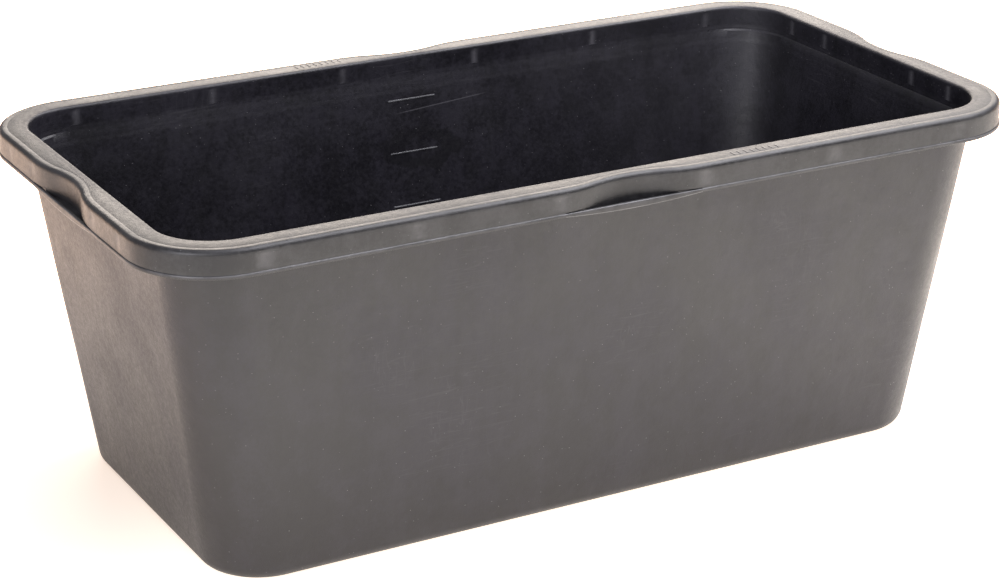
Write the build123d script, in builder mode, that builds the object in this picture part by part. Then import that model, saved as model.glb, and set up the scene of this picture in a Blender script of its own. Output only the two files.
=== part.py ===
from build123d import *
import math
import os

# Mortar mixing tub, 90-litre class, injection-moulded polyethylene. Millimetres.
# Origin: centre of the underside, on the surface that the tub stands on.
# +X runs along the length, +Y to the back, +Z up.

# Driving dimensions
LENGTH = 860.0  # across the rim's skirt faces, along X
WIDTH = 448.0  # across the rim's skirt faces, along Y
HEIGHT = 326.5
BASE_LENGTH = 727.5  # the walls' outer faces carried down to the floor plane
BASE_WIDTH = 342.0
RIM_WIDTH = 26.5  # from the mouth's edge to the skirt's outer face
MOUTH_RADIUS = 52.0  # the mouth's corners, seen from above
WALL_REACH = 4.8  # how far outside the mouth's edge the walls' outer faces meet the rim's top

# Wall thicknesses
FLOOR = 3.6
WALL = 3.2
FLANGE = 3.0
SKIRT = 2.5
RIB = 2.4

# Rim section
LEDGE_DROP = 21.0  # from the rim's top down to the ledge inside the mouth
SKIRT_DROP = 21.2  # from the rim's top down to the bead
BEAD_HEIGHT = 3.2
BEAD_PROUD = 1.0
SHOULDER_RADIUS = 4.5  # rim's top outer edge
POCKET_RADIUS = 1.8  # same corner on the inside
MOUTH_EDGE_RADIUS = 3.0
BASE_EDGE_RADIUS = 12.0
BEND = 16.0  # width of the bend between the floor and the walls
NECK = 6.0  # part of the flange that belongs to the walls
CORNER_STRIP = 3.0  # strip of flat wall that belongs to each corner

# Grips: the skirt is drawn in between two ribs, and a straight bar stands in front of the gap
GRIP_HALF = 68.0
GRIP_DEPTH = 10.0
GRIP_EDGE_RADIUS = 1.2  # rounded foot of the skirt where the fingers pull
BAR_THICKNESS = 3.0
BAR_SAG = 2.8  # how far the bar's lower edge hangs below the bead at mid-span
SLOT_HALF = 45.0  # behind the bar, the drawn-in skirt reaches down over this much of each half
SHELF = 1.8  # thin shelf that joins each bar to the drawn-in skirt and closes the slot from below
SHELF_SINK = 1.5  # the shelf's underside lies this far below the bead

# Stiffening ribs between the walls and the skirt, measured from the middle of each side
LONG_RIBS = (72.0, 207.0, 343.0)
SHORT_RIBS = (72.0, 129.0)
RIB_DROP = 18.5

# Graduation: raised lines inside the back wall, spaced for equal volumes
MARK_LEVELS = (65.0, 122.5, 177.0, 230.5, 283.0)
MARK_LENGTH = 51.5
MARK_HEIGHT = 1.6
MARK_PROUD = 0.7

# Raised plain ticks on the flange
TICK_COUNT = 8
TICK_PITCH = 6.5
TICK_SIZE = (1.6, 8.0, 0.5)
TICK_ROWS = {"front": (130.0, -1), "back": (-92.0, 1)}

# Derived sizes
RIM_RADIUS = MOUTH_RADIUS + RIM_WIDTH
TUB_RADIUS = MOUTH_RADIUS + WALL_REACH
MOUTH_LENGTH = LENGTH - 2 * RIM_WIDTH
MOUTH_WIDTH = WIDTH - 2 * RIM_WIDTH
TOP_LENGTH = MOUTH_LENGTH + 2 * WALL_REACH
TOP_WIDTH = MOUTH_WIDTH + 2 * WALL_REACH
CORNER_X = LENGTH / 2 - RIM_RADIUS  # centres of the rim's corner arcs
CORNER_Y = WIDTH / 2 - RIM_RADIUS
LEDGE_Z = HEIGHT - LEDGE_DROP
BEAD_TOP = HEIGHT - SKIRT_DROP
RIM_BOTTOM = BEAD_TOP - BEAD_HEIGHT
FLANGE_BOTTOM = HEIGHT - FLANGE
GRIP_FOOT = RIM_BOTTOM - SHELF_SINK  # the drawn-in skirt ends level with the shelf's underside
PAST = 5.0  # how far a cutting block runs past what it cuts

SIDES = {"front": -90, "back": 90, "left": 180, "right": 0}  # which way each side faces, degrees from +X
ENDS = {  # the corners that a side's negative and positive distances run towards
    "front": ("left", "right"),
    "back": ("right", "left"),
    "left": ("back", "front"),
    "right": ("front", "back"),
}
CORNERS = {"front_left": (-1, -1), "front_right": (1, -1), "back_left": (-1, 1), "back_right": (1, 1)}

os.makedirs("parts", exist_ok=True)


def save(part, label):
    """Label one finished piece and write it as its own STEP file."""
    part.label = label
    export_step(part, f"parts/{label}.step")


def tub_length(z):
    """Length over the walls' outer faces at height z."""
    return BASE_LENGTH + (TOP_LENGTH - BASE_LENGTH) * z / HEIGHT


def tub_width(z):
    """Width over the walls' outer faces at height z."""
    return BASE_WIDTH + (TOP_WIDTH - BASE_WIDTH) * z / HEIGHT


def half_across(side, z):
    """Distance from the middle to a side wall's outer face at height z."""
    return tub_width(z) / 2 if side in ("front", "back") else tub_length(z) / 2


def rim_half(side):
    """Distance from the middle to the skirt's outer face."""
    return WIDTH / 2 if side in ("front", "back") else LENGTH / 2


def outline_at(z, inset):
    """The tub's rounded outline at height z, moved inwards by inset."""
    with BuildSketch(Plane.XY.offset(z)) as outline:
        RectangleRounded(tub_length(z) - 2 * inset, tub_width(z) - 2 * inset, TUB_RADIUS - inset)
    return outline.sketch


def grip_notch(side):
    """Area taken out of the rim's outline at a grip: two pairs of tangent arcs and a straight edge."""
    quarter = GRIP_HALF / 2
    bend = (quarter**2 + (GRIP_DEPTH / 2) ** 2) / GRIP_DEPTH
    turn = math.degrees(math.asin(quarter / bend))
    with BuildSketch(Plane.XY) as notch:
        with BuildLine(Plane.XY.rotated((0, 0, SIDES[side]))):
            edge = rim_half(side)
            CenterArc((edge - bend, GRIP_HALF), bend, -turn, turn)
            CenterArc((edge - GRIP_DEPTH + bend, 0), bend, 180 - turn, 2 * turn)
            CenterArc((edge - bend, -GRIP_HALF), bend, 0, turn)
            Polyline(
                (edge, -GRIP_HALF),
                (edge + PAST, -GRIP_HALF),
                (edge + PAST, GRIP_HALF),
                (edge, GRIP_HALF),
            )
        make_face()
    return notch.sketch


def rim_outline(z, inset):
    """The rim's outline with the four grips drawn in, moved inwards by inset."""
    with BuildSketch(Plane.XY) as outline:
        RectangleRounded(LENGTH, WIDTH, RIM_RADIUS)
        for side in SIDES:
            add(grip_notch(side), mode=Mode.SUBTRACT)
        if inset:
            offset(amount=-inset, kind=Kind.INTERSECTION, mode=Mode.REPLACE)
    return Plane.XY.offset(z) * outline.sketch


# Tub body and the space inside it

with BuildPart() as tub_body:
    add(outline_at(0, 0))
    add(outline_at(HEIGHT, 0))
    loft(ruled=True)
    fillet(tub_body.faces().sort_by(Axis.Z)[0].edges(), BASE_EDGE_RADIUS)

with BuildPart() as tub_space:
    add(outline_at(FLOOR, WALL))
    add(outline_at(LEDGE_Z, WALL))
    loft(ruled=True)
    fillet(tub_space.faces().sort_by(Axis.Z)[0].edges(), BASE_EDGE_RADIUS - WALL)

with BuildPart() as mouth_space:
    with BuildSketch(Plane.XY.offset(LEDGE_Z)):
        RectangleRounded(MOUTH_LENGTH, MOUTH_WIDTH, MOUTH_RADIUS)
    extrude(amount=LEDGE_DROP)

# Rim: a flat flange with a skirt turned down from its outer edge, and a bead round the skirt's foot

with BuildPart() as rim_pocket:
    add(rim_outline(RIM_BOTTOM - PAST, SKIRT))
    extrude(amount=FLANGE_BOTTOM - RIM_BOTTOM + PAST)
    fillet(rim_pocket.faces().sort_by(Axis.Z)[-1].edges(), POCKET_RADIUS)

with BuildPart() as rim:
    add(rim_outline(BEAD_TOP, 0))
    extrude(amount=SKIRT_DROP)
    fillet(rim.faces().sort_by(Axis.Z)[-1].edges(), SHOULDER_RADIUS)
    with BuildSketch(Plane.XY.offset(RIM_BOTTOM)):
        RectangleRounded(LENGTH + 2 * BEAD_PROUD, WIDTH + 2 * BEAD_PROUD, RIM_RADIUS + BEAD_PROUD)
        for side in SIDES:
            with Locations(Rotation(0, 0, SIDES[side])):
                with Locations((rim_half(side), 0)):
                    Rectangle(2 * RIM_WIDTH, 2 * GRIP_HALF, mode=Mode.SUBTRACT)
    extrude(amount=BEAD_HEIGHT)
    for side in SIDES:
        with BuildSketch(Plane.XY.offset(GRIP_FOOT)):
            add(rim_outline(0, 0))
            with Locations(Rotation(0, 0, SIDES[side])):
                with Locations((rim_half(side), 0)):
                    Rectangle(2 * RIM_WIDTH, 2 * SLOT_HALF, mode=Mode.INTERSECT)
        extrude(amount=BEAD_TOP - GRIP_FOOT)
    add(rim_pocket.part, mode=Mode.SUBTRACT)

# The whole moulding, from which each region is cut

with BuildPart() as moulding:
    add(rim.part)
    add(tub_body.part)
    add(tub_space.part, mode=Mode.SUBTRACT)
    add(mouth_space.part, mode=Mode.SUBTRACT)
    mouth_edge = moulding.faces().filter_by(Plane.XY).sort_by(Axis.Z)[-1].inner_wires()[0].edges()
    fillet(mouth_edge, MOUTH_EDGE_RADIUS)


# Planes and blocks that mark off the regions


def half_along(side, z):
    """Half the length of a side wall's node at height z: its flat face less a strip at each end."""
    across = tub_length(z) if side in ("front", "back") else tub_width(z)
    return across / 2 - TUB_RADIUS - CORNER_STRIP


def end_plane(run, sign):
    """Slanted plane at one end of the walls that run along X or Y, facing the corner."""
    side = "front" if run == "X" else "left"
    start = half_along(side, 0)
    drift = half_along(side, HEIGHT) - start
    if run == "X":
        return Plane(origin=(sign * start, 0, 0), z_dir=(sign * HEIGHT, 0, -drift))
    return Plane(origin=(0, sign * start, 0), z_dir=(0, sign * HEIGHT, -drift))


def rim_stretches(side, band):
    """Names of a rim band's stretches along one side, with the distances where each starts and stops."""
    reach = CORNER_X if side in ("front", "back") else CORNER_Y
    near_end, far_end = ENDS[side]
    return {
        f"{side}_{band}_{near_end}": (-reach, -GRIP_HALF),
        f"{side}_grip_{band}": (-GRIP_HALF, GRIP_HALF),
        f"{side}_{band}_{far_end}": (GRIP_HALF, reach),
    }


def rim_side_block(side, start, stop):
    """Block across the rim between two distances along one side."""
    with BuildPart() as block:
        with BuildSketch(Plane.XY.offset(RIM_BOTTOM - PAST).rotated((0, 0, SIDES[side]))):
            with Locations((rim_half(side), (start + stop) / 2)):
                Rectangle(4 * RIM_WIDTH, stop - start)
        extrude(amount=HEIGHT - RIM_BOTTOM + 2 * PAST)
    return block.part


def rim_corner_block(corner):
    """Block round one corner of the rim, from the corner arcs' centre outwards."""
    side_x, side_y = CORNERS[corner]
    with BuildPart() as block:
        with BuildSketch(Plane.XY.offset(RIM_BOTTOM - PAST)):
            with Locations((side_x * (CORNER_X + RIM_RADIUS), side_y * (CORNER_Y + RIM_RADIUS))):
                Rectangle(2 * RIM_RADIUS, 2 * RIM_RADIUS)
        extrude(amount=HEIGHT - RIM_BOTTOM + 2 * PAST)
    return block.part


with BuildPart() as floor_block:
    with BuildSketch(Plane.XY):
        RectangleRounded(BASE_LENGTH - 2 * BEND, BASE_WIDTH - 2 * BEND, TUB_RADIUS - BEND)
    extrude(amount=FLOOR)

with BuildPart() as neck_block:
    with BuildSketch(Plane.XY):
        RectangleRounded(MOUTH_LENGTH + 2 * NECK, MOUTH_WIDTH + 2 * NECK, MOUTH_RADIUS + NECK)
    extrude(amount=HEIGHT)

with BuildPart() as flange_block:
    add(rim_outline(FLANGE_BOTTOM, SHOULDER_RADIUS))
    extrude(amount=FLANGE)

# Main regions of the moulding

with BuildPart() as wall_ring:
    add(moulding.part)
    add(neck_block.part, mode=Mode.INTERSECT)
    add(floor_block.part, mode=Mode.SUBTRACT)

with BuildPart() as flange_ring:
    add(moulding.part)
    add(flange_block.part, mode=Mode.INTERSECT)
    add(neck_block.part, mode=Mode.SUBTRACT)

with BuildPart() as skirt_ring:
    add(rim.part)
    add(flange_block.part, mode=Mode.SUBTRACT)
    with BuildSketch(Plane.XY.offset(RIM_BOTTOM - PAST)):
        add(rim_outline(0, SHOULDER_RADIUS))
    extrude(amount=HEIGHT - RIM_BOTTOM + 2 * PAST, mode=Mode.SUBTRACT)

# Floor

with BuildPart() as floor_panel:
    add(moulding.part)
    add(floor_block.part, mode=Mode.INTERSECT)

save(floor_panel.part, "floor_panel")

# Walls, each with its bend into the floor and its share of the mouth's rounded edge

for side in SIDES:
    run = "X" if side in ("front", "back") else "Y"
    outward = Vector(1, 0, 0).rotate(Axis.Z, SIDES[side])
    with BuildPart() as wall:
        add(wall_ring.part)
        split(bisect_by=end_plane(run, -1), keep=Keep.BOTTOM)
        split(bisect_by=end_plane(run, 1), keep=Keep.BOTTOM)
        split(bisect_by=Plane(origin=(0, 0, 0), z_dir=outward), keep=Keep.TOP)
    save(wall.part, f"{side}_wall")

for corner, (sign_x, sign_y) in CORNERS.items():
    with BuildPart() as wall_corner:
        add(wall_ring.part)
        split(bisect_by=end_plane("X", sign_x), keep=Keep.TOP)
        split(bisect_by=end_plane("Y", sign_y), keep=Keep.TOP)
    save(wall_corner.part, f"wall_corner_{corner}")

# Rim flange

for side in SIDES:
    for name, (start, stop) in rim_stretches(side, "flange").items():
        with BuildPart() as flange:
            add(flange_ring.part)
            add(rim_side_block(side, start, stop), mode=Mode.INTERSECT)
        save(flange.part, name)

for corner in CORNERS:
    with BuildPart() as flange_corner:
        add(flange_ring.part)
        add(rim_corner_block(corner), mode=Mode.INTERSECT)
    save(flange_corner.part, f"flange_corner_{corner}")


# Grip bars


def section_plane(side, along=0.0):
    """Plane across the rim at a distance along one side: local x points outwards, local y up."""
    outward = Vector(1, 0, 0).rotate(Axis.Z, SIDES[side])
    run = Vector(0, 1, 0).rotate(Axis.Z, SIDES[side])
    return Plane(origin=run * along, x_dir=outward, z_dir=outward.cross(Vector(0, 0, 1)))


def face_plane(side, across):
    """Upright plane at a distance from the middle: local x runs along the side, local y up."""
    outward = Vector(1, 0, 0).rotate(Axis.Z, SIDES[side])
    return Plane(origin=outward * across, x_dir=Vector(0, 0, 1).cross(outward), z_dir=outward)


def grip_bar(side):
    """Straight bar across a grip with a bowed lower edge, and the shelf that ties it to the skirt."""
    with BuildPart() as bar:
        with BuildSketch(face_plane(side, rim_half(side) + BEAD_PROUD)):
            with BuildLine():
                Polyline(
                    (-GRIP_HALF, RIM_BOTTOM),
                    (-GRIP_HALF, BEAD_TOP),
                    (GRIP_HALF, BEAD_TOP),
                    (GRIP_HALF, RIM_BOTTOM),
                )
                ThreePointArc(
                    (-GRIP_HALF, RIM_BOTTOM), (0, RIM_BOTTOM - BAR_SAG), (GRIP_HALF, RIM_BOTTOM)
                )
            make_face()
        extrude(amount=-BAR_THICKNESS)
        with BuildSketch(Plane.XY.offset(GRIP_FOOT)):
            with Locations(Rotation(0, 0, SIDES[side])):
                with Locations((rim_half(side) - GRIP_DEPTH / 2, 0)):
                    Rectangle(GRIP_DEPTH, 2 * SLOT_HALF)
            add(rim_outline(0, 0), mode=Mode.SUBTRACT)
        extrude(amount=SHELF)
    return bar.part


for side in SIDES:
    save(grip_bar(side), f"{side}_grip_bar")

# Skirt: a straight run on each side of each grip, the drawn-in grip itself, and the corners

for side in SIDES:
    for name, (start, stop) in rim_stretches(side, "skirt").items():
        with BuildPart() as skirt:
            add(skirt_ring.part)
            add(rim_side_block(side, start, stop), mode=Mode.INTERSECT)
            if "grip" in name:
                foot = skirt.edges().group_by(Axis.Z)[0]
                fillet(foot.filter_by(GeomType.CIRCLE), GRIP_EDGE_RADIUS)
        save(skirt.part, name)

for corner in CORNERS:
    with BuildPart() as skirt_corner:
        add(skirt_ring.part)
        add(rim_corner_block(corner), mode=Mode.INTERSECT)
    save(skirt_corner.part, f"skirt_corner_{corner}")

# Stiffening ribs under the flange

for side in SIDES:
    stations = LONG_RIBS if side in ("front", "back") else SHORT_RIBS
    rib_foot = FLANGE_BOTTOM - RIB_DROP
    skirt_face = rim_half(side) - SKIRT
    with BuildPart() as ribs:
        for along in [sign * station for station in stations for sign in (-1, 1)]:
            with BuildSketch(section_plane(side, along)) as section:
                with BuildLine():
                    Polyline(
                        (half_across(side, FLANGE_BOTTOM), FLANGE_BOTTOM),
                        (skirt_face, FLANGE_BOTTOM),
                        (skirt_face, rib_foot),
                        (half_across(side, rib_foot), rib_foot),
                        close=True,
                    )
                make_face()
                top_corner = section.vertices().sort_by(lambda v: v.X + v.Y)[-1]
                fillet(top_corner, POCKET_RADIUS)
            extrude(amount=RIB / 2, both=True)
    save(ribs.part, f"{side}_rim_ribs")

# Graduation lines inside the back wall

with BuildPart() as level_marks:
    for level in MARK_LEVELS:
        low = level - MARK_HEIGHT / 2
        high = low + MARK_HEIGHT
        with BuildSketch(section_plane("back")):
            with BuildLine():
                Polyline(
                    (half_across("back", low) - WALL, low),
                    (half_across("back", high) - WALL, high),
                    (half_across("back", high) - WALL - MARK_PROUD, high),
                    (half_across("back", low) - WALL - MARK_PROUD, low),
                    close=True,
                )
            make_face()
        extrude(amount=MARK_LENGTH / 2, both=True)

save(level_marks.part, "level_marks")

# Plain raised ticks on the flange

with BuildPart() as rim_ticks:
    for x, side_y in TICK_ROWS.values():
        with Locations((x, side_y * (WIDTH - RIM_WIDTH) / 2, HEIGHT)):
            with GridLocations(TICK_PITCH, 0, TICK_COUNT, 1):
                Box(*TICK_SIZE, align=(Align.CENTER, Align.CENTER, Align.MIN))

save(rim_ticks.part, "rim_ticks")
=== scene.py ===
import math

import bmesh
import bpy
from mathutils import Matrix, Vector, noise


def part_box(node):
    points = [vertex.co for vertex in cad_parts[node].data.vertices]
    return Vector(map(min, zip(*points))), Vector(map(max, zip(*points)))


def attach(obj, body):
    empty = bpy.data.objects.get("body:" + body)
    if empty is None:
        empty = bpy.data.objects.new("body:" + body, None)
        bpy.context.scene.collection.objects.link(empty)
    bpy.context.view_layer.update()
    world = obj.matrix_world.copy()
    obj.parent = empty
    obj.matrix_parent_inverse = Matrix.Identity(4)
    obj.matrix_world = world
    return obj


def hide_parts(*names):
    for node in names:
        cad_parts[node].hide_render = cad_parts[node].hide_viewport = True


# Mortar mixing tub: each region of the moulding is a closed section swept along its stretch of the
# rounded outline. Shapes are worked out in millimetres and written to the meshes in metres.

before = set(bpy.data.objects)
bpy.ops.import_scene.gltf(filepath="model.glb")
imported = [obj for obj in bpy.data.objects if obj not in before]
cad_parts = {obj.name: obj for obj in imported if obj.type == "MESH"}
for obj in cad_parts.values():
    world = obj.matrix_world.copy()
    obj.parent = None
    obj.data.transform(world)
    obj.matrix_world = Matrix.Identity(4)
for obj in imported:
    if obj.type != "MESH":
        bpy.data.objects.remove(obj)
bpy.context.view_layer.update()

MM = 0.001

# Driving sizes that the frame doesn't give
BEND = 16.0  # width of the bend between the floor and the walls
BEAD_PROUD = 1.0
RIM_WIDTH = 26.5  # from the mouth's edge to the skirt's face
MOUTH_RADIUS = 52.0
WALL_REACH = 4.8  # how far outside the mouth's edge the walls' outer faces meet the rim's top
FLOOR = 3.6
WALL = 3.2
FLANGE = 3.0
SKIRT = 2.5
NECK = 6.0  # strip of the rim's top that belongs to the walls
LEDGE_DROP = 21.0
SHOULDER_RADIUS = 4.5
POCKET_RADIUS = 1.8
MOUTH_EDGE_RADIUS = 3.0
BASE_ROUND = 10.7  # tangent length of the round between the underside and a leaning wall
INNER_ROUND = 7.9
CORNER_STRIP = 3.0  # straight strip at each end of a corner piece

GRIP_HALF = 68.0
GRIP_DEPTH = 10.0
GRIP_EDGE_RADIUS = 1.2
BAR_THICKNESS = 3.0
BAR_SAG = 2.8
SLOT_HALF = 45.0  # behind the bar, the drawn-in skirt reaches down over this much of each half
SHELF = 1.8  # thin shelf between each bar and the drawn-in skirt
SHELF_SINK = 1.5
SHELF_BITE = 0.2  # how far the shelf's edge is let into the skirt
SHELF_STUB = 0.05  # what is left of the shelf beyond the slot
SHELF_LEAST = 0.5  # least thickness of that stub

LONG_RIBS = (72.0, 207.0, 343.0)  # stiffening ribs under the rim, from the middle of each side
SHORT_RIBS = (72.0, 129.0)
MARK_LEVELS = (65.0, 122.5, 177.0, 230.5, 283.0)
MARK_SIZE = (51.5, 1.5, 1.6)  # length, depth and height
MARK_PROUD = 0.8
TICK_SIZE = (1.6, 8.0, 1.0)
TICK_PROUD = 0.35
TICK_PITCH = 6.5
TICK_COUNT = 8
TICK_ROWS = {"front": (130.0, -1), "back": (-92.0, 1)}  # middle along X, and the side's sign in Y

# Sizes read off the frame
rim_far_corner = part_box("skirt_corner_back_right")[1] / MM
floor_far_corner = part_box("floor_panel")[1] / MM
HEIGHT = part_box("flange_corner_back_right")[1].z / MM
RIM_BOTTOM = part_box("skirt_corner_back_right")[0].z / MM
BEAD_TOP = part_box("front_grip_bar")[1].z / MM
LENGTH = 2 * (rim_far_corner.x - BEAD_PROUD)
WIDTH = 2 * (rim_far_corner.y - BEAD_PROUD)
BASE_LENGTH = 2 * (floor_far_corner.x + BEND)
BASE_WIDTH = 2 * (floor_far_corner.y + BEND)

# Derived sizes
TUB_RADIUS = MOUTH_RADIUS + WALL_REACH
CORNER_X = LENGTH / 2 - RIM_WIDTH - MOUTH_RADIUS  # centres of the rim's corner arcs
CORNER_Y = WIDTH / 2 - RIM_WIDTH - MOUTH_RADIUS
LEAN_X = (CORNER_X + TUB_RADIUS - BASE_LENGTH / 2) / HEIGHT  # how fast the walls draw in downwards
LEAN_Y = (CORNER_Y + TUB_RADIUS - BASE_WIDTH / 2) / HEIGHT
FLANGE_BOTTOM = HEIGHT - FLANGE
LEDGE_Z = HEIGHT - LEDGE_DROP
GRIP_FOOT = RIM_BOTTOM - SHELF_SINK
TUB_MIDDLE = Vector((0.0, 0.0, HEIGHT * MM / 2))

# How far edges are lightened by a painted highlight, the ticks drawn paler and the skin over a rib whitened,
# from 0 to 1
EDGE_SHEEN = 0.7
TICK_PALENESS = 0.35
SKIRT_RUB = 0.30
SKIRT_SPREAD = 8.0  # how far the whitening runs along the skirt and along the mouth
MOUTH_RUB = 0.62
MOUTH_SPREAD = 3.0

# Fine shape of the moulded surfaces
SEAM_MARGIN = 1.0  # flat strip that the skirt pieces keep inside the shoulder
GROOVE_IN = 8.0  # from the skirt's face in to the fine groove on the flange
GROOVE_HALF = 0.9
GROOVE_FLAT = 0.2  # share of the groove's width that is flat at the bottom
GROOVE_DEPTH = 0.2
SINK_DEPTH = 0.4  # sink marks where ribs meet the outer skin
SINK_SPREAD = 5.0
SINK_FOOT = 6.0  # sink marks start this far below the ledge,
SINK_RISE = 10.0  # reach their depth over this height
SINK_HEAD = 4.0  # and fade out over this height below the rim's top
LEDGE_CURVE = ((0.0, 2.6), (0.1, 1.5), (0.5, 0.0), (0.9, -1.5), (1.0, -2.4))  # share across, and rise
LEDGE_FOOT = 4.0
STEP_DROP = 13.0  # from the ledge down to a finer step
STEP_PROUD = 0.30
STEP_CURVE = ((0.0, 2.0), (0.2, 1.0), (0.8, -1.0), (1.0, -2.0))
STEP_FOOT = 4.0
SKIRT_CHAMFER = 0.5
BAR_CHAMFER = 0.3
BEAD_TOP_CURVE = (  # beyond the skirt's face, above the bead's top, lightening by painted highlight
    (0.0, 0.9, 0.0),
    (-0.08, 0.35, 0.0),
    (0.12, 0.0, 0.0),
    (0.48, -0.25, EDGE_SHEEN),
    (0.80, -0.65, EDGE_SHEEN),
    (BEAD_PROUD, -1.25, EDGE_SHEEN / 2),
)
BEAD_FOOT_CURVE = ((BEAD_PROUD, 0.8), (0.75, 0.25), (0.3, 0.0))  # beyond the face, above the rim's foot
BAR_TOP_CURVE = (  # in from the bar's face, below the bead's top, lightening by painted highlight
    (1.1, 0.0, 0.0),
    (0.55, 0.25, EDGE_SHEEN),
    (0.20, 0.65, EDGE_SHEEN),
    (0.0, 1.25, EDGE_SHEEN / 2),
)
BAR_FOOT_CURVE = (  # in from the bar's face, above the bar's lower edge, lightening by painted highlight
    (0.0, 1.2, 0.0),
    (0.05, 0.7, EDGE_SHEEN),
    (0.25, 0.25, EDGE_SHEEN),
    (0.7, 0.0, 0.0),
)
WARP = 0.9  # most that a wall strays in or out
WARP_SPAN = 170.0
GATE_PROFILE = (  # radius and height of the injection point's dimple and stub in the underside
    (9.8, 0.0),
    (9.0, 0.0),
    (8.2, 0.5),
    (7.0, 0.9),
    (3.2, 1.0),
    (2.9, 0.5),
    (2.6, 0.3),
)

# Fineness of the meshes
GRID = 14.0  # spacing of the sections along a straight run
GRIP_GRID = 4.0
RIB_GRID = (0.0, 2.2, 4.5, 7.0, 10.0)  # distances of the extra sections on both sides of a rib
SLOT_END_GAP = 0.02  # the two sections at a slot's end lie this far to either side of it
CORNER_STEPS = 32
ROUND_STEPS = 7
POCKET_STEPS = 4
GATE_STEPS = 40
WALL_LEVELS = 22
MOUTH_LEVELS = 7
SKIRT_LEVELS = 6
GRIP_LEVELS = 8
CREASE = math.radians(34.0)  # sharper edges are shaded as creases

SIDES = {"front": -90, "right": 0, "back": 90, "left": 180}  # which way each side faces, degrees
ENDS = {  # the corners that a side's negative and positive distances run towards
    "front": ("left", "right"),
    "right": ("front", "back"),
    "back": ("right", "left"),
    "left": ("back", "front"),
}
CORNERS = {  # each corner lies between the end of one side and the start of the next
    "front_right": ("front", "right"),
    "back_right": ("right", "back"),
    "back_left": ("back", "left"),
    "front_left": ("left", "front"),
}


# Stations: places round the outline, each with its anchor, outward direction and distance along a side


def half_run(side):
    """Half the straight length of a side at the rim."""
    return CORNER_X if side in ("front", "back") else CORNER_Y


def side_station(side, along):
    """Station on a straight side, at a distance from its middle."""
    angle = math.radians(SIDES[side])
    out = Vector((math.cos(angle), math.sin(angle)))
    run = Vector((-out.y, out.x))
    return {"anchor": out + run * along / half_run(side), "out": out, "side": side, "along": along}


def corner_station(side, turn):
    """Station on the corner that follows a side, turn degrees past the side's direction."""
    anchor = side_station(side, half_run(side))["anchor"]
    angle = math.radians(SIDES[side] + turn)
    out = Vector((math.cos(angle), math.sin(angle)))
    return {"anchor": anchor, "out": out, "side": None, "along": 0.0}


def arc_stations(side):
    """Stations round the arc of the corner that follows a side."""
    return [corner_station(side, 90.0 * i / CORNER_STEPS) for i in range(CORNER_STEPS + 1)]


def corner_stations(first, second):
    """Stations round the corner between two sides, with a straight strip at each end."""
    before = side_station(first, half_run(first) - CORNER_STRIP)
    after = side_station(second, CORNER_STRIP - half_run(second))
    return [before] + arc_stations(first) + [after]


def ribs_of(side):
    """Rib distances along a side, on both halves."""
    ribs = LONG_RIBS if side in ("front", "back") else SHORT_RIBS
    return [sign * rib for rib in ribs for sign in (-1, 1)]


def side_stations(side, start, stop, grid=GRID):
    """Stations along a straight run, closer together round each rib."""
    count = max(2, round((stop - start) / grid))
    places = {round(start + (stop - start) * i / count, 3) for i in range(count + 1)}
    for rib in ribs_of(side):
        near = [rib + sign * step for step in RIB_GRID for sign in (-1, 1)]
        places |= {round(along, 3) for along in near if start < along < stop}
    return [side_station(side, along) for along in sorted(places)]


def slotted_stations(side):
    """Stations along a grip, with a close pair at each end of its slot."""
    offsets = (-SLOT_END_GAP, SLOT_END_GAP)
    pairs = [side_station(side, sign * SLOT_HALF + offset) for sign in (-1, 1) for offset in offsets]
    grip = side_stations(side, -GRIP_HALF, GRIP_HALF, GRIP_GRID)
    return sorted(grip + pairs, key=lambda station: station["along"])


# Section points: (drop, reach, z, lightening). The straight lengths draw in with drop, reach is from the
# arc's centre, and lightening says how far the colour is lightened there: whitening over a rib, and a
# painted highlight along the bead's and bars' edges.


def upright(across, z, pale_and_sheen=0.0):
    """Point measured outwards from the mouth's upright edge."""
    return (0.0, MOUTH_RADIUS + across, z, pale_and_sheen)


def leaning(inset, z):
    """Point measured inwards from the walls' leaning outer face."""
    return (HEIGHT - z, TUB_RADIUS - inset, z, 0.0)


def quarter(radius, steps=ROUND_STEPS):
    """Pairs (sine part, cosine part) that run through a quarter round."""
    angles = [math.pi / 2 * i / steps for i in range(steps + 1)]
    return [(radius * math.sin(a), radius * math.cos(a)) for a in angles]


def spaced(start, stop, count):
    """Evenly spaced values from start to stop, without the two ends."""
    return [start + (stop - start) * i / count for i in range(1, count)]


def smooth(value):
    """Ease from 0 to 1."""
    value = min(1.0, max(0.0, value))
    return value * value * (3 - 2 * value)


def near_rib(station, spread):
    """How close a station is to a rib, from 0 to 1."""
    if station["side"] is None:
        return 0.0
    return sum(math.exp(-(((station["along"] - rib) / spread) ** 2)) for rib in ribs_of(station["side"]))


def skin_point(station, face, outward, z):
    """Point on an upright face with ribs behind it, drawn back and a little whitened at each rib."""
    whitening, spread = (SKIRT_RUB, SKIRT_SPREAD) if outward > 0 else (MOUTH_RUB, MOUTH_SPREAD)
    depth = SINK_DEPTH * near_rib(station, SINK_SPREAD)
    depth *= smooth((z - LEDGE_Z + SINK_FOOT) / SINK_RISE) * smooth((HEIGHT - z) / SINK_HEAD)
    return upright(face - outward * depth, z, whitening * near_rib(station, spread))


def notch(station):
    """How far the skirt is drawn in at a grip: two tangent arcs each side of the middle."""
    if station["side"] is None or abs(station["along"]) >= GRIP_HALF:
        return 0.0
    half = GRIP_HALF / 2
    bend = (half**2 + (GRIP_DEPTH / 2) ** 2) / GRIP_DEPTH
    along = abs(station["along"])
    if along > half:
        return bend - math.sqrt(bend**2 - (GRIP_HALF - along) ** 2)
    return GRIP_DEPTH - bend + math.sqrt(bend**2 - along**2)


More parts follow.
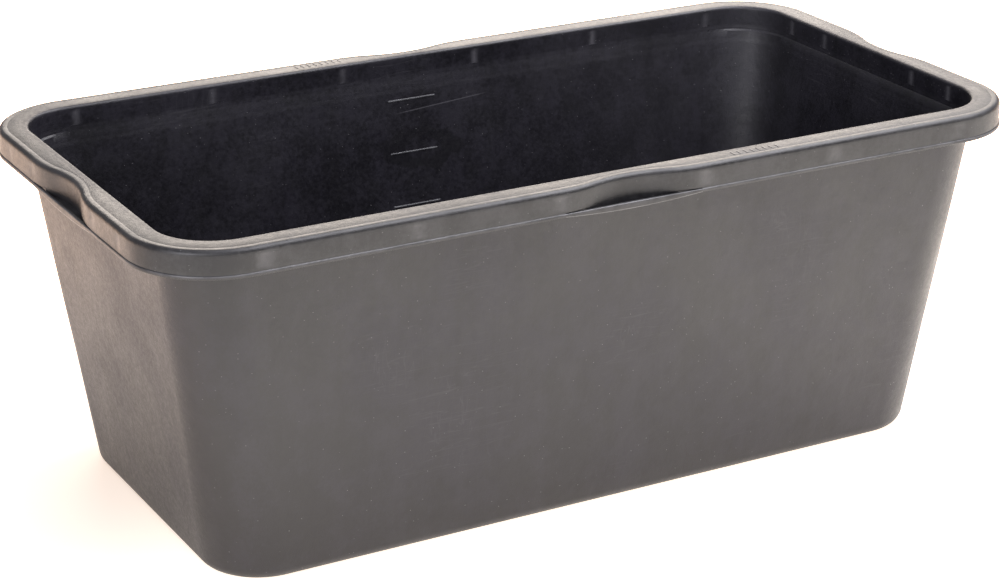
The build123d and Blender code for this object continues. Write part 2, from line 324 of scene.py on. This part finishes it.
def wall_section(station):
    """Wall with its bend into the floor, the ledge inside the mouth and its share of the rim's top."""
    loop = [leaning(BEND, 0.0)]
    loop += [leaning(BASE_ROUND - across, BASE_ROUND - up) for across, up in quarter(BASE_ROUND)]
    loop += [leaning(0.0, z) for z in spaced(BASE_ROUND, FLANGE_BOTTOM, WALL_LEVELS)]
    loop += [leaning(0.0, FLANGE_BOTTOM), upright(NECK, FLANGE_BOTTOM), upright(NECK, HEIGHT)]
    edge = MOUTH_EDGE_RADIUS
    loop += [upright(edge - across, HEIGHT - edge + up) for across, up in quarter(edge)]
    loop += [skin_point(station, 0.0, -1, z) for z in spaced(HEIGHT - edge, LEDGE_Z, MOUTH_LEVELS)]
    ledge = WALL_REACH - WALL - LEAN_Y * LEDGE_DROP
    loop += [upright(ledge * share, LEDGE_Z + rise) for share, rise in LEDGE_CURVE]
    loop.append(leaning(WALL, LEDGE_Z - LEDGE_FOOT))
    step_z = LEDGE_Z - STEP_DROP
    loop += [leaning(WALL + STEP_PROUD * share, step_z + rise) for share, rise in STEP_CURVE]
    inner = WALL + STEP_PROUD
    top = step_z - STEP_FOOT
    bottom = FLOOR + INNER_ROUND
    loop += [leaning(inner, z) for z in [top] + spaced(top, bottom, WALL_LEVELS)]
    for across, up in reversed(quarter(INNER_ROUND)):
        loop.append(leaning(inner + INNER_ROUND - across, bottom - up))
    loop.append((HEIGHT, TUB_RADIUS - BEND, FLOOR, 0.0))
    return loop


def flange_section(station):
    """Flat rim plate with a fine groove along its outer edge."""
    face = RIM_WIDTH - notch(station)
    groove = face - GROOVE_IN
    flat = GROOVE_FLAT * GROOVE_HALF
    outer = face - SHOULDER_RADIUS - SEAM_MARGIN
    return [
        upright(NECK, FLANGE_BOTTOM),
        upright(NECK, HEIGHT),
        upright(groove - GROOVE_HALF, HEIGHT),
        upright(groove - flat, HEIGHT - GROOVE_DEPTH),
        upright(groove + flat, HEIGHT - GROOVE_DEPTH),
        upright(groove + GROOVE_HALF, HEIGHT),
        upright(outer, HEIGHT),
        upright(outer, FLANGE_BOTTOM),
    ]


def shoulder(face):
    """Outer top edge of the rim, from the flange's seam round to the skirt's face."""
    radius = SHOULDER_RADIUS
    seam = [upright(face - radius - SEAM_MARGIN, HEIGHT)]
    return seam + [upright(face - radius + across, HEIGHT - radius + up) for across, up in quarter(radius)]


def pocket(face):
    """Inner corner under the shoulder, from the skirt's inner face up to the flange."""
    start = face - SKIRT - POCKET_RADIUS
    foot = FLANGE_BOTTOM - POCKET_RADIUS
    seam = [upright(face - SHOULDER_RADIUS - SEAM_MARGIN, FLANGE_BOTTOM)]
    return [upright(start + up, foot + across) for across, up in quarter(POCKET_RADIUS, POCKET_STEPS)] + seam


def skirt_section(station):
    """Shoulder, upright skirt and the bead round its foot."""
    face = RIM_WIDTH
    inner = face - SKIRT
    top = HEIGHT - SHOULDER_RADIUS
    foot = BEAD_TOP + BEAD_TOP_CURVE[0][1]
    loop = shoulder(face)
    loop += [skin_point(station, face, 1, z) for z in spaced(top, foot, SKIRT_LEVELS)]
    loop += [upright(face + beyond, BEAD_TOP + up, pale_and_sheen) for beyond, up, pale_and_sheen in BEAD_TOP_CURVE]
    loop += [upright(face + beyond, RIM_BOTTOM + up) for beyond, up in BEAD_FOOT_CURVE]
    loop += [upright(inner + SKIRT_CHAMFER, RIM_BOTTOM), upright(inner, RIM_BOTTOM + SKIRT_CHAMFER)]
    return loop + pocket(face)


def grip_section(station):
    """Drawn-in skirt of a grip with a rounded foot, which lies lower behind the bar's slot."""
    face = RIM_WIDTH - notch(station)
    inner = face - SKIRT
    top = HEIGHT - SHOULDER_RADIUS
    foot = GRIP_FOOT if abs(station["along"]) < SLOT_HALF else BEAD_TOP
    roll = GRIP_EDGE_RADIUS
    loop = shoulder(face)
    loop += [skin_point(station, face, 1, z) for z in spaced(top, foot + roll, GRIP_LEVELS)]
    loop += [upright(face - roll + up, foot + roll - across) for across, up in quarter(roll)]
    loop += [upright(inner + roll - across, foot + roll - up) for across, up in quarter(roll)]
    return loop + pocket(face)


def bar_section(station):
    """Bar across a grip, bowed along its lower edge, with the shelf that ties it to the skirt."""
    outer = RIM_WIDTH + BEAD_PROUD
    inner = outer - BAR_THICKNESS
    low = RIM_BOTTOM - BAR_SAG * (1 - (station["along"] / GRIP_HALF) ** 2)
    under = max(GRIP_FOOT, low + BAR_CHAMFER)
    top = max(GRIP_FOOT + SHELF, under + SHELF_LEAST)
    in_slot = abs(station["along"]) < SLOT_HALF
    edge = RIM_WIDTH - notch(station) - SHELF_BITE if in_slot else inner - SHELF_STUB
    loop = [upright(inner + BAR_CHAMFER, BEAD_TOP)]
    loop += [upright(outer - inset, BEAD_TOP - down, pale_and_sheen) for inset, down, pale_and_sheen in BAR_TOP_CURVE]
    loop += [upright(outer - inset, low + up, pale_and_sheen) for inset, up, pale_and_sheen in BAR_FOOT_CURVE]
    loop += [upright(inner + BAR_CHAMFER, low), upright(inner, under)]
    loop += [upright(edge, under), upright(edge, top)]
    loop += [upright(inner, top), upright(inner, BEAD_TOP - BAR_CHAMFER)]
    return loop


# Turning stations and sections into meshes


def warp(x, y, drop, z):
    """Slight unevenness of the large walls, in millimetres outwards, nothing at the ledge and the base."""
    if drop == 0.0:
        return 0.0
    envelope = math.sin(math.pi * min(1.0, z / LEDGE_Z)) ** 2
    return WARP * envelope * noise.noise(Vector((x, y, z)) / WARP_SPAN)


def locate(station, point):
    """Place one section point at one station, in metres."""
    drop, reach, z, _ = point
    straight = Vector((CORNER_X - LEAN_X * drop, CORNER_Y - LEAN_Y * drop))
    anchor = Vector((station["anchor"].x * straight.x, station["anchor"].y * straight.y))
    skin = anchor + station["out"] * TUB_RADIUS
    place = anchor + station["out"] * (reach + warp(skin.x, skin.y, drop, z))
    return Vector((place.x, place.y, z)) * MM


def join_rings(bm, ring, following):
    """Band of faces between two closed rings of vertices."""
    for i in range(len(ring)):
        j = (i + 1) % len(ring)
        bm.faces.new((ring[i], ring[j], following[j], following[i]))


def finish_mesh(bm, node, material):
    """Write a bmesh to a new piece that rides on the tub and stands for its node."""
    bmesh.ops.recalc_face_normals(bm, faces=bm.faces)
    for face in bm.faces:
        face.smooth = True
    for edge in bm.edges:
        edge.smooth = not edge.is_manifold or edge.calc_face_angle() < CREASE
    name = f"{node}_moulded"
    mesh = bpy.data.meshes.new(name)
    bm.to_mesh(mesh)
    bm.free()
    mesh.materials.append(material)
    piece = bpy.data.objects.new(name, mesh)
    bpy.context.scene.collection.objects.link(piece)
    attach(piece, "root")
    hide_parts(node)


def sweep(node, stations, section, material):
    """Closed solid made by carrying a section through its stations."""
    bm = bmesh.new()
    pale_and_sheen = bm.verts.layers.float.new("pale_and_sheen")
    rings = []
    for station in stations:
        ring = []
        for point in section(station):
            vert = bm.verts.new(locate(station, point))
            vert[pale_and_sheen] = point[3]
            ring.append(vert)
        rings.append(ring)
    for ring, following in zip(rings, rings[1:]):
        join_rings(bm, ring, following)
    bm.faces.new(list(reversed(rings[0])))
    bm.faces.new(rings[-1])
    finish_mesh(bm, node, material)


# Small helpers for shader node trees


def new_material(name):
    """Material with an empty node tree, its shader and its object-space coordinates."""
    material = bpy.data.materials.new(name)
    material.use_nodes = True
    tree = material.node_tree
    tree.nodes.clear()
    output = tree.nodes.new("ShaderNodeOutputMaterial")
    shader = tree.nodes.new("ShaderNodeBsdfPrincipled")
    tree.links.new(shader.outputs["BSDF"], output.inputs["Surface"])
    coordinates = tree.nodes.new("ShaderNodeTexCoord").outputs["Object"]
    return material, tree, shader, coordinates


def connect(tree, value, socket):
    """Give a socket its value, which is another socket, a number or a colour."""
    if isinstance(value, bpy.types.NodeSocket):
        tree.links.new(value, socket)
    elif isinstance(value, tuple):
        socket.default_value = (*value, 1.0)
    else:
        socket.default_value = value


def axes(tree, vector):
    """X, Y and Z of a vector."""
    node = tree.nodes.new("ShaderNodeSeparateXYZ")
    tree.links.new(vector, node.inputs["Vector"])
    return node.outputs


def length_of(tree, vector):
    """Length of a vector."""
    node = tree.nodes.new("ShaderNodeVectorMath")
    node.operation = "LENGTH"
    tree.links.new(vector, node.inputs[0])
    return node.outputs["Value"]


def stretched(tree, coordinates, scale, turn=(0.0, 0.0, 0.0)):
    """Coordinates scaled and turned, for patterns that run one way."""
    mapping = tree.nodes.new("ShaderNodeMapping")
    mapping.inputs["Scale"].default_value = scale
    mapping.inputs["Rotation"].default_value = [math.radians(t) for t in turn]
    tree.links.new(coordinates, mapping.inputs["Vector"])
    return mapping.outputs["Vector"]


def noise_value(tree, vector, scale, detail=3.0, roughness=0.55):
    """Noise between about 0.3 and 0.7."""
    texture = tree.nodes.new("ShaderNodeTexNoise")
    texture.inputs["Scale"].default_value = scale
    texture.inputs["Detail"].default_value = detail
    texture.inputs["Roughness"].default_value = roughness
    tree.links.new(vector, texture.inputs["Vector"])
    return texture.outputs["Fac"]


def ramp(tree, value, span, result):
    """Map a value from one range to another, clamped and eased."""
    node = tree.nodes.new("ShaderNodeMapRange")
    node.interpolation_type = "SMOOTHSTEP"
    node.inputs["From Min"].default_value, node.inputs["From Max"].default_value = span
    node.inputs["To Min"].default_value, node.inputs["To Max"].default_value = result
    tree.links.new(value, node.inputs["Value"])
    return node.outputs["Result"]


def combine(tree, operation, first, second=0.0):
    """Math node on two values, each a socket or a number."""
    node = tree.nodes.new("ShaderNodeMath")
    node.operation = operation
    connect(tree, first, node.inputs[0])
    connect(tree, second, node.inputs[1])
    return node.outputs["Value"]


def product(tree, first, *others):
    """Product of two or more values."""
    for value in others:
        first = combine(tree, "MULTIPLY", first, value)
    return first


def weighted_sum(tree, first, *others):
    """Sum of values, each given with its weight."""
    total = product(tree, *first)
    for term in others:
        total = combine(tree, "ADD", total, product(tree, *term))
    return total


def tint(tree, factor, low, high):
    """Colour that runs from low to high with a factor."""
    node = tree.nodes.new("ShaderNodeMix")
    node.data_type = "RGBA"
    connect(tree, factor, node.inputs["Factor"])
    connect(tree, low, node.inputs["A"])
    connect(tree, high, node.inputs["B"])
    return node.outputs["Result"]


# Marks on the plastic, with a ring of painted shade and a painted highlight among them. Lengths are in
# metres, as in the shader, apart from the ring's level and shift.

RING_LEVEL = MARK_LEVELS[3]
RING_SHIFT = (3.0, 1.0)  # from the middle of that level's line, along it and upwards
RING_CENTRE = (
    RING_SHIFT[0] * MM,
    (BASE_WIDTH / 2 + LEAN_Y * RING_LEVEL - WALL) * MM,
    (RING_LEVEL + RING_SHIFT[1]) * MM,
)
RING_STRETCH = (1.0, 0.5, 2.1)  # flattens the ring
RING_RADIUS = 0.033
RING_SOFTNESS = 0.013
RING_WAVER = 0.012
RING_STRENGTH = 0.28

SCRATCH_LEVEL = 0.271  # height of the scratch's line at the tub's middle
SCRATCH_SLOPE = 0.07
SCRATCH_START = -0.022
SCRATCH_STOP = 0.088
SCRATCH_FADE = 0.02
SCRATCH_HALF = 0.0009
SCRATCH_STRENGTH = 0.45
WALL_MIDDLE = (BASE_WIDTH / 2 - WALL / 2) * MM + LEAN_Y * SCRATCH_LEVEL  # within the back wall, in Y

PAINTED_HIGHLIGHT_STRENGTH = 0.13
SPOT_STRENGTH = 0.65
SPOT_LOT = (0.78, 0.88)  # cells that draw more than this, from 0 to 1, carry a spot
SCUFF_STRENGTH = 0.03
SCUFF_HALF = 0.012  # a scuff's half width, in steps of its noise
SCUFF_FADE = 0.12
GLOSS_CLOUDS = 0.04  # how far the roughness wanders with the clouds and with the mottle
GLOSS_MOTTLE = 0.05
BUMP_STRENGTH = 0.4
BUMP_HEIGHT = 0.0006
NOISE_SPAN = (0.3, 0.7)


def scratches(tree, coordinates, scale, turn, rarity):
    """Thin broken lines along one direction."""
    lines = noise_value(tree, stretched(tree, coordinates, scale, turn), 1.0, detail=2.0, roughness=0.6)
    off_line = combine(tree, "ABSOLUTE", combine(tree, "SUBTRACT", lines, 0.5))
    thin = ramp(tree, off_line, (0.0, SCUFF_HALF), (1.0, 0.0))
    patches = noise_value(tree, coordinates, 9.0, detail=2.0)
    return product(tree, thin, ramp(tree, patches, (rarity, rarity + SCUFF_FADE), (0.0, 1.0)))


def specks(tree, coordinates, scale, size):
    """Tiny separate spots, in a few of the cells of a grid with this scale."""
    cells = tree.nodes.new("ShaderNodeTexVoronoi")
    cells.inputs["Scale"].default_value = scale
    tree.links.new(coordinates, cells.inputs["Vector"])
    spot = ramp(tree, cells.outputs["Distance"], (0.0, size), (1.0, 0.0))
    lot = tree.nodes.new("ShaderNodeSeparateColor")
    tree.links.new(cells.outputs["Color"], lot.inputs["Color"])
    return product(tree, spot, ramp(tree, lot.outputs["Red"], SPOT_LOT, (0.0, 1.0)))


def painted_shade_ring(tree, coordinates):
    """Faint dark ring of painted shade round one of the graduation lines."""
    shifted = tree.nodes.new("ShaderNodeVectorMath")
    shifted.operation = "SUBTRACT"
    tree.links.new(coordinates, shifted.inputs[0])
    shifted.inputs[1].default_value = RING_CENTRE
    distance = length_of(tree, stretched(tree, shifted.outputs["Vector"], RING_STRETCH))
    swirl = noise_value(tree, coordinates, 22.0, detail=2.0)
    distance = combine(tree, "ADD", distance, ramp(tree, swirl, NOISE_SPAN, (-RING_WAVER, RING_WAVER)))
    rise = ramp(tree, distance, (RING_RADIUS - RING_SOFTNESS, RING_RADIUS), (0.0, 1.0))
    fall = ramp(tree, distance, (RING_RADIUS, RING_RADIUS + RING_SOFTNESS), (1.0, 0.0))
    return product(tree, rise, fall)


def long_scratch(tree, x, y, z):
    """Fine slanting scratch inside the back wall, just below the top graduation line."""
    above = combine(tree, "SUBTRACT", z, product(tree, x, SCRATCH_SLOPE))
    off_line = combine(tree, "ABSOLUTE", combine(tree, "SUBTRACT", above, SCRATCH_LEVEL))
    line = ramp(tree, off_line, (0.0, SCRATCH_HALF), (1.0, 0.0))
    start = ramp(tree, x, (SCRATCH_START, SCRATCH_START + SCRATCH_FADE), (0.0, 1.0))
    stop = ramp(tree, x, (SCRATCH_STOP - SCRATCH_FADE, SCRATCH_STOP), (1.0, 0.0))
    back = ramp(tree, y, (0.0, SCRATCH_FADE), (0.0, 1.0))
    inside = ramp(tree, y, (WALL_MIDDLE, WALL_MIDDLE + MM), (1.0, 0.0))
    return product(tree, line, start, stop, back, inside)


def painted_highlight_right(tree, x, y, clouds):
    """Painted highlight: a faint cloudy brightening that grows towards the right end of the back wall."""
    right_end = ramp(tree, x, (0.0, 0.33), (0.0, PAINTED_HIGHLIGHT_STRENGTH))
    back_half = ramp(tree, y, (0.06, 0.16), (0.0, 1.0))
    return product(tree, right_end, back_half, ramp(tree, clouds, (0.3, 0.6), (0.6, 1.0)))


# Materials


def moulded_plastic(name, dark, light, lightened, dust, roughness, grain):
    """Satin black-grey polyethylene: cloudy, finely grained, with specks of dust, light scratches, a ring of
    painted shade, a painted highlight at the back wall's right end and painted highlights along edges.
    """
    material, tree, shader, coordinates = new_material(name)
    x, y, z = axes(tree, coordinates)
    clouds = noise_value(tree, coordinates, 9.0, detail=5.0, roughness=0.6)
    upwards = stretched(tree, coordinates, (42.0, 42.0, 5.0))
    streaks = noise_value(tree, upwards, 1.0, detail=4.0, roughness=0.6)
    blotches = noise_value(tree, coordinates, 45.0, detail=4.0, roughness=0.65)
    mottle = noise_value(tree, coordinates, 260.0, detail=3.0, roughness=0.7)
    small_specks = specks(tree, coordinates, 260.0, 0.13)
    large_specks = specks(tree, coordinates, 75.0, 0.040)
    spots = combine(tree, "MAXIMUM", small_specks, large_specks)
    level_scuffs = scratches(tree, coordinates, (6.0, 6.0, 110.0), (0.0, 14.0, 12.0), 0.54)
    steep_scuffs = scratches(tree, coordinates, (90.0, 90.0, 6.0), (14.0, -28.0, 33.0), 0.60)
    scuffs = combine(tree, "MAXIMUM", level_scuffs, steep_scuffs)

    # lightens the colour: whitening over ribs, paler ticks, and a painted highlight on the bead's and bars'
    # edges
    pale_and_sheen = tree.nodes.new("ShaderNodeAttribute")
    pale_and_sheen.attribute_name = "pale_and_sheen"
    paleness_and_sheen = product(tree, pale_and_sheen.outputs["Fac"], ramp(tree, blotches, (0.32, 0.6), (0.45, 1.0)))

    # painted shade in a faint ring round one graduation line
    ring = painted_shade_ring(tree, coordinates)
    tone = weighted_sum(
        tree, (clouds, 0.30), (streaks, 0.20), (blotches, 0.25), (mottle, 0.25), (ring, -RING_STRENGTH)
    )
    colour = tint(tree, ramp(tree, tone, (0.42, 0.58), (0.0, 1.0)), dark, light)
    # painted highlight towards the right end of the back wall
    colour = tint(tree, painted_highlight_right(tree, x, y, clouds), colour, lightened)
    colour = tint(tree, product(tree, long_scratch(tree, x, y, z), SCRATCH_STRENGTH), colour, lightened)
    colour = tint(tree, paleness_and_sheen, colour, lightened)
    dusty_spots = product(tree, spots, SPOT_STRENGTH)
    dusty_scuffs = product(tree, scuffs, SCUFF_STRENGTH)
    dusty = combine(tree, "MAXIMUM", dusty_spots, dusty_scuffs)
    tree.links.new(tint(tree, dusty, colour, dust), shader.inputs["Base Color"])

    cloudy = ramp(tree, clouds, (0.35, 0.65), (roughness - GLOSS_CLOUDS, roughness + GLOSS_CLOUDS))
    mottled = ramp(tree, mottle, NOISE_SPAN, (-GLOSS_MOTTLE, GLOSS_MOTTLE))
    gloss = weighted_sum(tree, (cloudy, 1.0), (mottled, 1.0), (scuffs, 0.03), (paleness_and_sheen, -0.06))
    tree.links.new(gloss, shader.inputs["Roughness"])
    shader.inputs["IOR"].default_value = 1.5

    fine = noise_value(tree, coordinates, grain, detail=4.0, roughness=0.6)
    peel = noise_value(tree, coordinates, 70.0, detail=2.0, roughness=0.5)
    relief = weighted_sum(tree, (fine, 0.55), (peel, 1.6), (scuffs, -0.06), (spots, 0.5))
    bump = tree.nodes.new("ShaderNodeBump")
    bump.inputs["Strength"].default_value = BUMP_STRENGTH
    bump.inputs["Distance"].default_value = BUMP_HEIGHT
    tree.links.new(relief, bump.inputs["Height"])
    tree.links.new(bump.outputs["Normal"], shader.inputs["Normal"])
    return material


# Darker, bluer copy of the rim's plastic for the walls and the floor panel: painted shade that darkens the
# inside of the tub.
SHADED_WALL_PLASTIC = moulded_plastic(
    "wall_polyethylene_painted_shade",
    dark=(0.0028, 0.0024, 0.0046),
    light=(0.0096, 0.0086, 0.0138),
    lightened=(0.100, 0.097, 0.108),
    dust=(0.32, 0.31, 0.32),
    roughness=0.46,
    grain=900.0,
)
RIM_PLASTIC = moulded_plastic(
    "rim_polyethylene",
    dark=(0.0080, 0.0078, 0.0092),
    light=(0.0225, 0.0218, 0.0240),
    lightened=(0.115, 0.112, 0.118),
    dust=(0.30, 0.295, 0.30),
    roughness=0.43,
    grain=1100.0,
)
# Much paler copy of the plastic for the graduation marks: a painted highlight on their raised lines.
PAINTED_HIGHLIGHT_MARK_PLASTIC = moulded_plastic(
    "mark_polyethylene_painted_highlight",
    dark=(0.060, 0.060, 0.066),
    light=(0.110, 0.110, 0.118),
    lightened=(0.140, 0.140, 0.145),
    dust=(0.20, 0.20, 0.20),
    roughness=0.40,
    grain=1100.0,
)


# The regions of the moulding

for side, (near_end, far_end) in ENDS.items():
    flat = half_run(side) - CORNER_STRIP
    sweep(f"{side}_wall", side_stations(side, -flat, flat), wall_section, SHADED_WALL_PLASTIC)
    for end, start, stop in ((near_end, -flat, -GRIP_HALF), (far_end, GRIP_HALF, flat)):
        sweep(f"{side}_flange_{end}", side_stations(side, start, stop), flange_section, RIM_PLASTIC)
        sweep(f"{side}_skirt_{end}", side_stations(side, start, stop), skirt_section, RIM_PLASTIC)
    grip = side_stations(side, -GRIP_HALF, GRIP_HALF, GRIP_GRID)
    sweep(f"{side}_grip_flange", grip, flange_section, RIM_PLASTIC)
    slotted = slotted_stations(side)
    sweep(f"{side}_grip_skirt", slotted, grip_section, RIM_PLASTIC)
    sweep(f"{side}_grip_bar", slotted, bar_section, RIM_PLASTIC)

for corner, (first, second) in CORNERS.items():
    stations = corner_stations(first, second)
    sweep(f"wall_corner_{corner}", stations, wall_section, SHADED_WALL_PLASTIC)
    sweep(f"flange_corner_{corner}", stations, flange_section, RIM_PLASTIC)
    sweep(f"skirt_corner_{corner}", stations, skirt_section, RIM_PLASTIC)


# Floor panel


def gate_ring(bm, radius, z):
    """Circle of vertices round the middle of the underside."""
    turns = [2 * math.pi * i / GATE_STEPS for i in range(GATE_STEPS)]
    return [bm.verts.new(Vector((radius * math.cos(t), radius * math.sin(t), z)) * MM) for t in turns]


def floor_panel():
    """Plate between the walls' bends, with the injection point in the middle of its underside."""
    bm = bmesh.new()
    outline = [station for first, _ in CORNERS.values() for station in arc_stations(first)]
    edge = TUB_RADIUS - BEND
    upper = [bm.verts.new(locate(station, (HEIGHT, edge, FLOOR, 0.0))) for station in outline]
    lower = [bm.verts.new(locate(station, (HEIGHT, edge, 0.0, 0.0))) for station in outline]
    bm.faces.new(upper)
    join_rings(bm, upper, lower)
    circles = [gate_ring(bm, radius, z) for radius, z in GATE_PROFILE]
    for ring, following in zip(circles, circles[1:]):
        join_rings(bm, ring, following)
    bm.faces.new(circles[-1])
    open_edges = [edge for edge in bm.edges if len(edge.link_faces) == 1]
    bmesh.ops.triangle_fill(bm, use_beauty=True, edges=open_edges)
    finish_mesh(bm, "floor_panel", SHADED_WALL_PLASTIC)


floor_panel()


# Raised details, each a softened bar

SOFT_EDGE = 0.3  # share of the smallest size that is rounded off
SOFT_STEPS = 3


def soft_bar(bm, size, centre, lean=0.0, lightened=0.0):
    """Add a small bar with rounded edges, leaning back by an angle about X."""
    pale_and_sheen = bm.verts.layers.float.get("pale_and_sheen") or bm.verts.layers.float.new("pale_and_sheen")
    made = bmesh.ops.create_cube(bm, size=1.0)["verts"]
    for vert in made:
        vert.co = Vector((vert.co.x * size[0], vert.co.y * size[1], vert.co.z * size[2]))
    edges = list({edge for vert in made for edge in vert.link_edges})
    offset = SOFT_EDGE * min(size)
    rounded = bmesh.ops.bevel(bm, geom=edges, offset=offset, segments=SOFT_STEPS, affect="EDGES")["verts"]
    for vert in set(rounded) | {vert for vert in made if vert.is_valid}:
        y = vert.co.y * math.cos(lean) - vert.co.z * math.sin(lean)
        z = vert.co.y * math.sin(lean) + vert.co.z * math.cos(lean)
        vert.co = (Vector((vert.co.x, y, z)) + Vector(centre)) * MM
        vert[pale_and_sheen] = lightened


marks = bmesh.new()
for level in MARK_LEVELS:
    skin = BASE_WIDTH / 2 + LEAN_Y * level - WALL - STEP_PROUD
    centre = (0.0, skin - MARK_PROUD + MARK_SIZE[1] / 2, level)
    soft_bar(marks, MARK_SIZE, centre, lean=-math.atan(LEAN_Y))
finish_mesh(marks, "level_marks", PAINTED_HIGHLIGHT_MARK_PLASTIC)

ticks = bmesh.new()
for middle, sign in TICK_ROWS.values():
    for i in range(TICK_COUNT):
        x = middle + TICK_PITCH * (i - (TICK_COUNT - 1) / 2)
        y = sign * (WIDTH - RIM_WIDTH) / 2
        soft_bar(ticks, TICK_SIZE, (x, y, HEIGHT + TICK_PROUD - TICK_SIZE[2] / 2), lightened=TICK_PALENESS)
finish_mesh(ticks, "rim_ticks", RIM_PLASTIC)


# Ribs under the rim keep their CAD shape

for side in SIDES:
    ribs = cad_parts[f"{side}_rim_ribs"]
    ribs.data.materials.clear()
    ribs.data.materials.append(RIM_PLASTIC)


# Pale studio floor with a painted glow. It is no lamp, and the tub's dark faces mirror it, so its falloff
# paints their light and shade.

FLOOR_SIZE = 16.0
FLOOR_CELLS = 8
PAINTED_GLOW_STRENGTH = 2.15
COOL_PAINTED_GLOW = (1.0, 0.92, 0.79)
WARM_PAINTED_GLOW = (1.0, 0.64, 0.42)
PAINTED_GLOW_OVAL = (1.0, 1.45, 1.0)  # the falloff runs round the tub in ovals


def painted_floor_glow(tree, coordinates):
    """Painted glow of the floor: a painted shadow by the tub, dimmer far out and at the front left, brighter
    behind.
    """
    x, y, _ = axes(tree, coordinates)
    distance = length_of(tree, stretched(tree, coordinates, PAINTED_GLOW_OVAL))
    # painted contact shadow: the glow dims close to the tub
    painted_shadow_by_tub = ramp(tree, distance, (0.36, 0.80), (0.56, 1.0))
    far_out = ramp(tree, distance, (0.75, 1.15), (1.0, 0.74))
    front_left = ramp(tree, combine(tree, "ADD", x, y), (-1.6, -0.8), (0.40, 1.0))
    left = ramp(tree, x, (-0.5, 0.0), (1.0, 0.0))
    not_front = ramp(tree, y, (-0.35, 0.10), (0.0, 1.0))
    beside = ramp(tree, product(tree, left, not_front), (0.0, 1.0), (1.0, 0.42))
    behind = ramp(tree, y, (0.40, 0.80), (1.0, 3.6))
    return product(tree, painted_shadow_by_tub, far_out, PAINTED_GLOW_STRENGTH, beside, behind, front_left)


def painted_glow_floor_material():
    """Pale matt floor whose painted glow turns warmer towards the back."""
    material, tree, shader, coordinates = new_material("painted_glow_floor")
    clouds = noise_value(tree, coordinates, 3.0, detail=4.0)
    cloudy = ramp(tree, clouds, NOISE_SPAN, (0.0, 1.0))
    pale = tint(tree, cloudy, (0.84, 0.81, 0.775), (0.86, 0.83, 0.795))
    tree.links.new(pale, shader.inputs["Base Color"])
    shader.inputs["Roughness"].default_value = 0.9
    shader.inputs["Specular IOR Level"].default_value = 0.0
    tree.links.new(painted_floor_glow(tree, coordinates), shader.inputs["Emission Strength"])
    # painted warmth: the glow turns warmer towards the back
    painted_warmth = ramp(tree, axes(tree, coordinates)["Y"], (-0.5, 0.7), (0.0, 1.0))
    tree.links.new(tint(tree, painted_warmth, COOL_PAINTED_GLOW, WARM_PAINTED_GLOW), shader.inputs["Emission Color"])
    return material


bpy.ops.mesh.primitive_grid_add(x_subdivisions=FLOOR_CELLS, y_subdivisions=FLOOR_CELLS, size=FLOOR_SIZE)
painted_glow_floor = bpy.context.object
painted_glow_floor.name = "painted_glow_floor"
painted_glow_floor.data.materials.append(painted_glow_floor_material())


# Light

SKY_COLOUR = (0.98, 0.98, 1.0)
SKY_STRENGTH = 0.32

world = bpy.data.worlds.new("studio")
world.use_nodes = True
bpy.context.scene.world = world
background = world.node_tree.nodes["Background"]
background.inputs["Color"].default_value = (*SKY_COLOUR, 1.0)
background.inputs["Strength"].default_value = SKY_STRENGTH


def softbox(name, towards, distance, size, radiance, colour):
    """Rectangular light, size wide and high, that faces the tub from a direction."""
    light = bpy.data.lights.new(name, "AREA")
    light.shape = "RECTANGLE"
    light.size, light.size_y = size
    light.energy = radiance * math.pi * size[0] * size[1]
    light.color = colour
    lamp = bpy.data.objects.new(name, light)
    direction = Vector(towards).normalized()
    lamp.location = direction * distance + TUB_MIDDLE
    lamp.rotation_euler = direction.to_track_quat("Z", "Y").to_euler()
    bpy.context.scene.collection.objects.link(lamp)


softbox("overhead", (0.05, -0.20, 1.0), 2.3, (2.4, 2.0), 1.8, (0.93, 0.91, 1.0))
softbox("over_right", (0.52, -0.14, 0.85), 2.2, (2.8, 1.2), 7.8, (0.97, 0.96, 1.0))
softbox("behind_right", (0.46, 0.83, 0.42), 3.5, (2.6, 2.1), 5.0, (1.0, 0.89, 0.79))
softbox("front_fill", (-0.40, -1.0, 0.50), 3.4, (2.2, 1.6), 1.6, (0.92, 0.93, 1.0))
softbox("front_left", (-0.84, -0.48, 0.41), 2.6, (0.95, 1.3), 8.0, (0.95, 0.94, 1.0))


# Camera

VIEW_AZIMUTH = math.radians(-28.92)
VIEW_ELEVATION = math.radians(20.94)
VIEW_DISTANCE = 2.526
VIEW_LENS = 97.24
VIEW_SHIFT = (-0.00735, -0.01728)
SENSOR_WIDTH = 36.0

camera = bpy.data.objects.new("camera", bpy.data.cameras.new("camera"))
towards_camera = Vector((
    math.sin(VIEW_AZIMUTH) * math.cos(VIEW_ELEVATION),
    -math.cos(VIEW_AZIMUTH) * math.cos(VIEW_ELEVATION),
    math.sin(VIEW_ELEVATION),
))
camera.location = towards_camera * VIEW_DISTANCE + TUB_MIDDLE
camera.rotation_euler = (-towards_camera).to_track_quat("-Z", "Y").to_euler()
camera.data.sensor_width = SENSOR_WIDTH
camera.data.lens = VIEW_LENS
camera.data.shift_x, camera.data.shift_y = VIEW_SHIFT
bpy.context.scene.collection.objects.link(camera)
bpy.context.scene.camera = camera
bpy.context.scene.view_settings.view_transform = "Standard"
